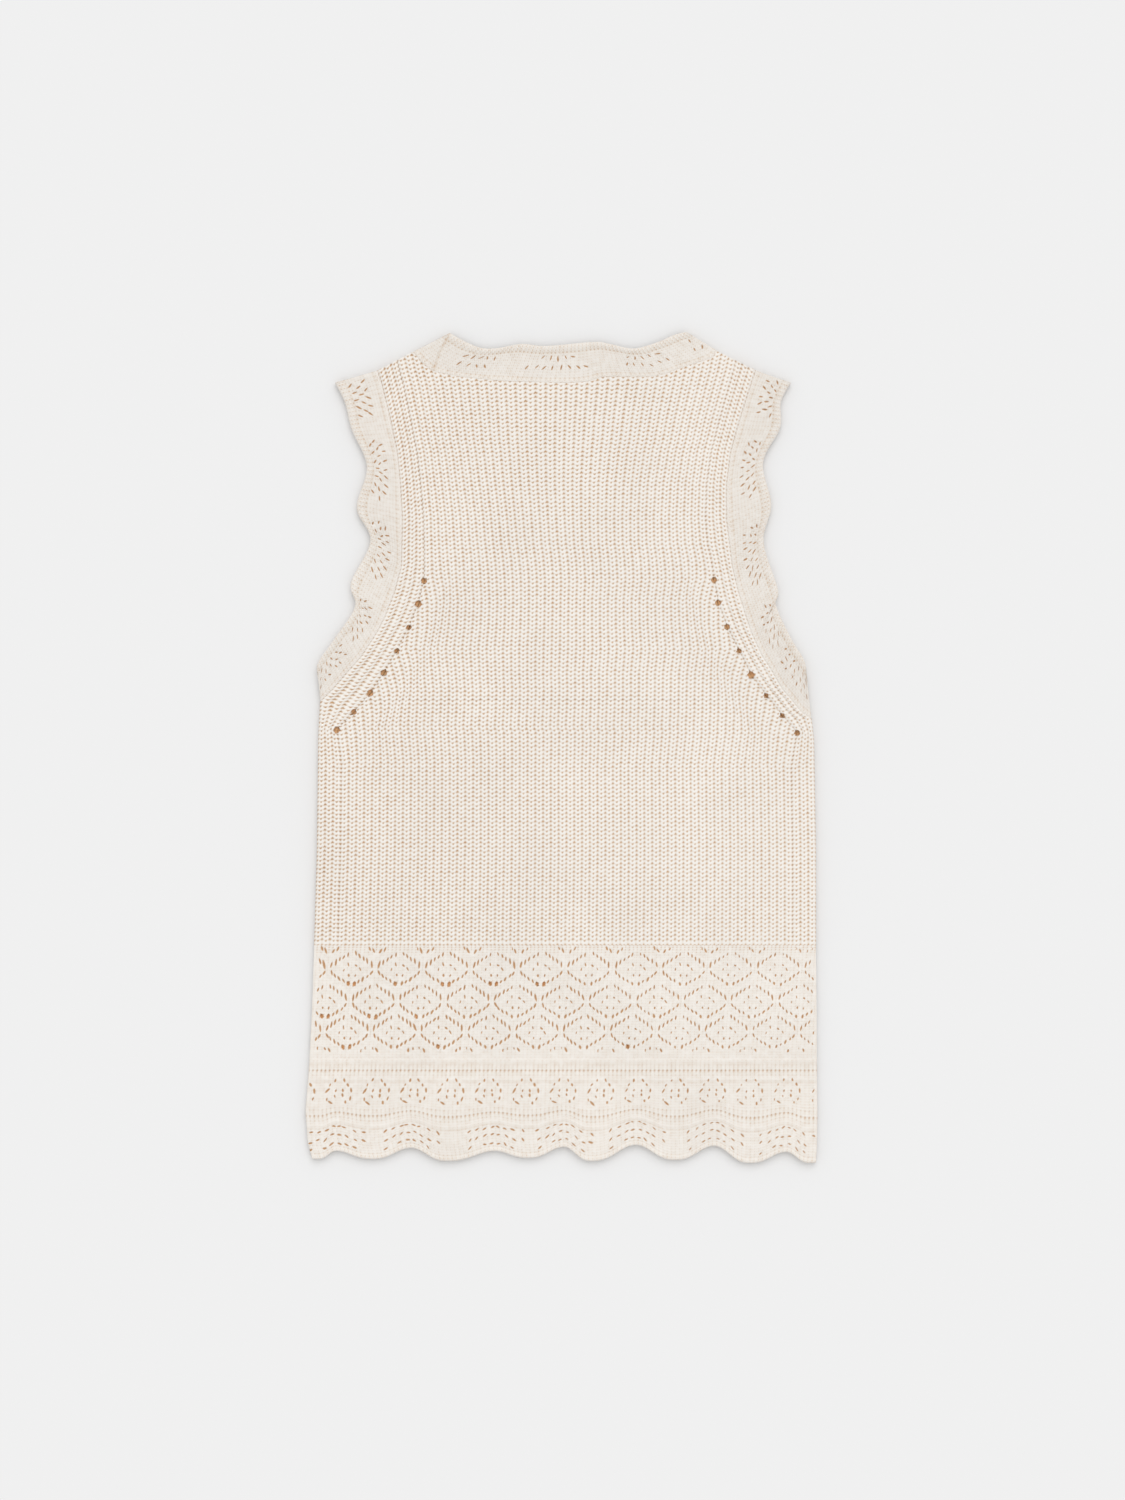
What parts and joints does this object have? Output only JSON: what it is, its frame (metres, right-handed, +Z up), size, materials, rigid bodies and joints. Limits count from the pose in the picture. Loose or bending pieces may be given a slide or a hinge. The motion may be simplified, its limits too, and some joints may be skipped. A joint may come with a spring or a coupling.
{
  "type": "pointelle knit vest",
  "caption": "Sleeveless rib-knit vest laid flat, back up, with a pointelle lace border, a scalloped hem and scalloped bands at neck and armholes.",
  "frame": {"origin": "centre of the garment's outline, on the surface it lies on", "axes": "+Z up out of the back of the garment, +Y from the hem towards the neck, +X to the right as seen from above"},
  "size_m": [0.3839, 0.6232, 0.0057],
  "materials": {
    "rib_knit": "matt cream cotton knit, rib and pointelle lace",
    "band_knit": "matt cream cotton knit, plain strip, eyelets and rolled edge"
  },
  "bodies": {
    "root": {"back_panel": "rib_knit", "front_panel": "rib_knit", "neck_band_back": "band_knit", "neck_band_front": "band_knit", "left_armhole_band_back": "band_knit", "left_armhole_band_front": "band_knit", "right_armhole_band_back": "band_knit", "right_armhole_band_front": "band_knit"}
  },
  "joints": []
}
